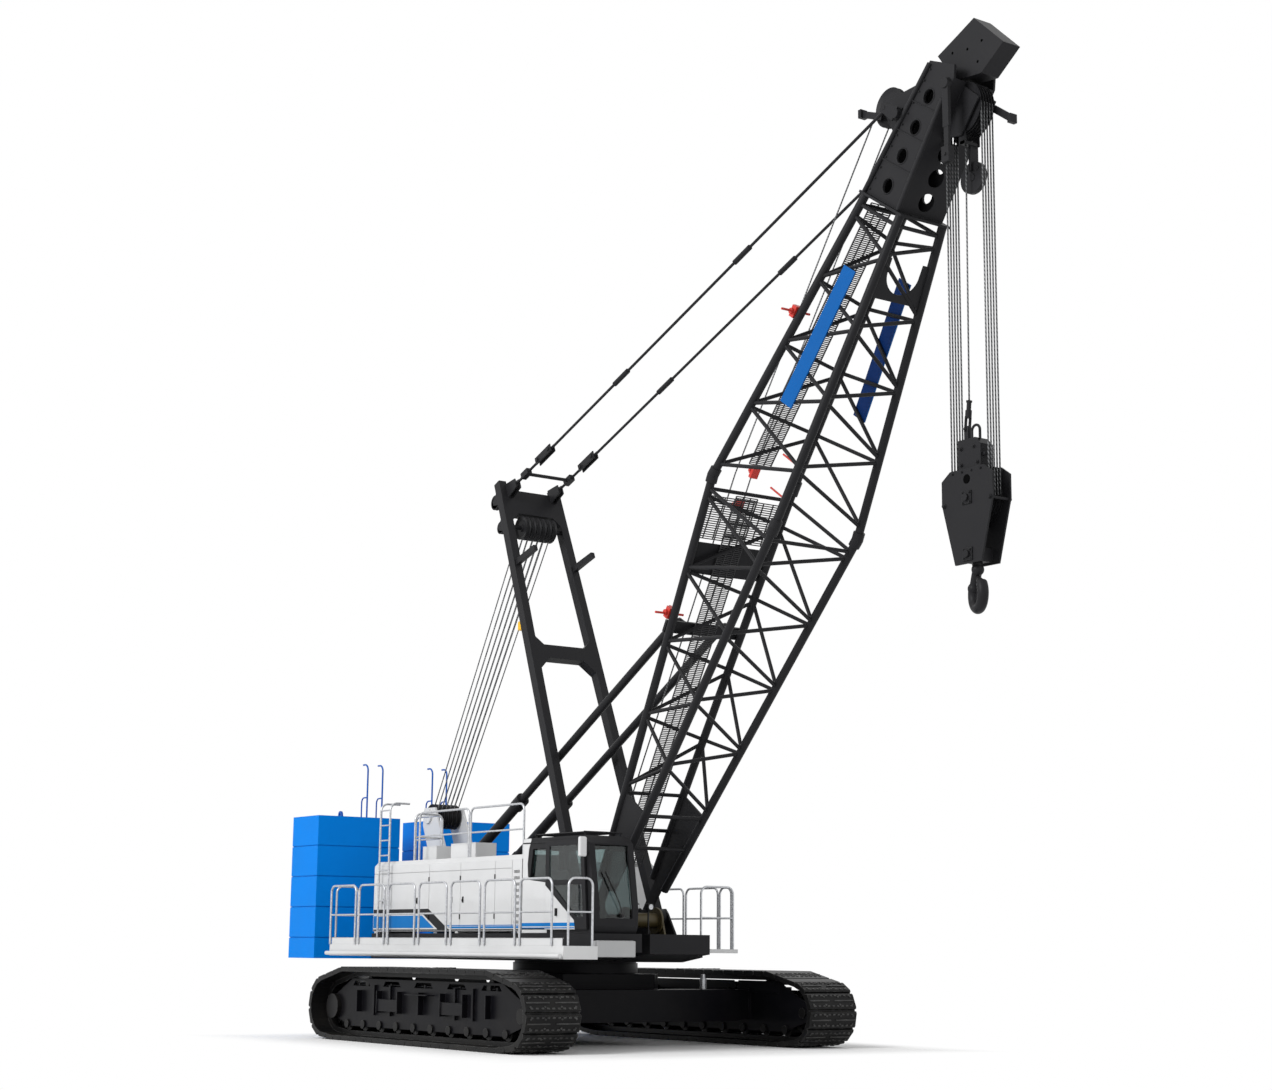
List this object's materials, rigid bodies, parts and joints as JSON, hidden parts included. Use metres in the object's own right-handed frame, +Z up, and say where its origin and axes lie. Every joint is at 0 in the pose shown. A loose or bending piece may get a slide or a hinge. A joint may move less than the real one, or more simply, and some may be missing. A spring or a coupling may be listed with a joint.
{
  "type": "crawler crane",
  "caption": "Lattice boom crawler crane with turning upper, live mast, telescoping backstops, hook block on a plumb rope fall and sliding cab door",
  "frame": {"origin": "centre of the underside of the bounding box, on the ground between the tracks' ends and the boom's reach", "axes": "+X forward along the tracks and the boom, +Y to the machine's left, +Z up"},
  "size_m": [19.1316, 6.96, 15.9431],
  "materials": {
    "charcoal_paint": "satin charcoal paint",
    "navy_paint": "satin dark blue-black paint",
    "blue_paint": "gloss bright blue paint",
    "white_paint": "gloss white paint",
    "track_steel": "dark worn cast steel",
    "galvanised": "galvanised tube",
    "cab_glass_tint": "green tinted glass",
    "olive_paint": "olive brown paint",
    "red_paint": "red paint",
    "grey_steel": "grey paint",
    "wire_rope": "steel wire rope",
    "seat_fabric": "dark seat cloth"
  },
  "bodies": {
    "lower": {"car_body": "navy_paint", "slewing_ring": "charcoal_paint", "axle_beams": "navy_paint", "beam_jacks": "galvanised", "track_frame_right": "navy_paint", "track_frame_left": "navy_paint", "track_shoes_right": "track_steel", "track_shoes_left": "track_steel", "sprockets": "track_steel", "idlers": "track_steel", "lower_rollers": "track_steel", "carrier_rollers": "track_steel"},
    "upper": {"upper_frame": "charcoal_paint", "side_decks": "charcoal_paint", "foot_brackets": "charcoal_paint", "house_right": "white_paint", "house_left": "white_paint", "engine_block": "grey_steel", "exhaust_stack": "galvanised", "winch_drums": "olive_paint", "counterweight_base": "blue_paint", "counterweight_slabs": "blue_paint", "counterweight_handles": "blue_paint", "cab_shell": "charcoal_paint", "cab_glass": "cab_glass_tint", "cab_seat": "seat_fabric", "cab_guard": "charcoal_paint", "walkways": "white_paint", "rails_right": "galvanised", "rails_roof": "galvanised", "rails_left": "galvanised", "access_ladder": "galvanised", "rear_gantry": "white_paint", "gantry_sheaves": "charcoal_paint", "backstop_posts": "charcoal_paint"},
    "door": {"cab_door": "white_paint", "door_glass": "cab_glass_tint"},
    "boom": {"boom_butt": "charcoal_paint", "boom_tip": "charcoal_paint", "boom_head": "charcoal_paint", "head_sheaves": "charcoal_paint", "aux_head": "charcoal_paint", "boom_walkway": "grey_steel", "sign_boards": "blue_paint", "lifeline_posts": "red_paint"},
    "mast": {"mast_frame": "charcoal_paint", "mast_sheaves": "charcoal_paint", "pendants": "charcoal_paint"},
    "stop_barrels": {"backstop_barrels": "charcoal_paint"},
    "stop_rods": {"backstop_rods": "charcoal_paint"},
    "rope_fall": {"hoist_ropes": "wire_rope"},
    "block": {"hook_block": "charcoal_paint", "hook_sheaves": "charcoal_paint"},
    "hook": {"crane_hook": "charcoal_paint"}
  },
  "joints": [
    {"name": "swing", "type": "hinge", "parent": "lower", "child": "upper", "pos_m": [-2.14084, 0, 1.44], "axis": [0, 0, 1], "continuous": true},
    {"name": "boom_luff", "type": "hinge", "parent": "upper", "child": "boom", "pos_m": [-0.70984, 0, 2.274], "axis": [0, 1, 0], "range_deg": [-25.1, 24.9]},
    {"name": "hook_hoist", "type": "slide", "parent": "rope_fall", "child": "block", "axis": [0, 0, 1], "range_m": [-6.4, 3.9], "deforming": ["hoist_ropes"]},
    {"name": "hook_swivel", "type": "hinge", "parent": "block", "child": "hook", "pos_m": [8.60673, 0, 7.5], "axis": [0, 0, 1], "continuous": true},
    {"name": "cab_door_slide", "type": "slide", "parent": "upper", "child": "door", "axis": [-1, 0, 0], "range_m": [0, 0.8]},
    {"name": "mast_luff", "type": "hinge", "parent": "upper", "child": "mast", "pos_m": [-0.70984, 0, 2.274], "axis": [0, 1, 0], "range_deg": [-26, 26]},
    {"name": "backstop_pivot", "type": "hinge", "parent": "upper", "child": "stop_barrels", "pos_m": [-6.22305, 0, 2.78545], "axis": [0, 1, 0], "range_deg": [-13, 13]},
    {"name": "backstop_rod_pivot", "type": "hinge", "parent": "boom", "child": "stop_rods", "pos_m": [1.62458, 0, 7.29472], "axis": [0, 1, 0], "range_deg": [-13, 13]},
    {"name": "rope_plumb", "type": "hinge", "parent": "boom", "child": "rope_fall", "pos_m": [8.60673, 0, 14.57362], "axis": [0, 1, 0], "range_deg": [-26, 26]}
  ],
  "couplings": [
    {"joint": "mast_luff", "follows": "boom_luff", "ratio": 1},
    {"joint": "backstop_pivot", "follows": "boom_luff", "ratio": 0.5},
    {"joint": "backstop_rod_pivot", "follows": "boom_luff", "ratio": -0.5},
    {"joint": "rope_plumb", "follows": "boom_luff", "ratio": -1}
  ]
}
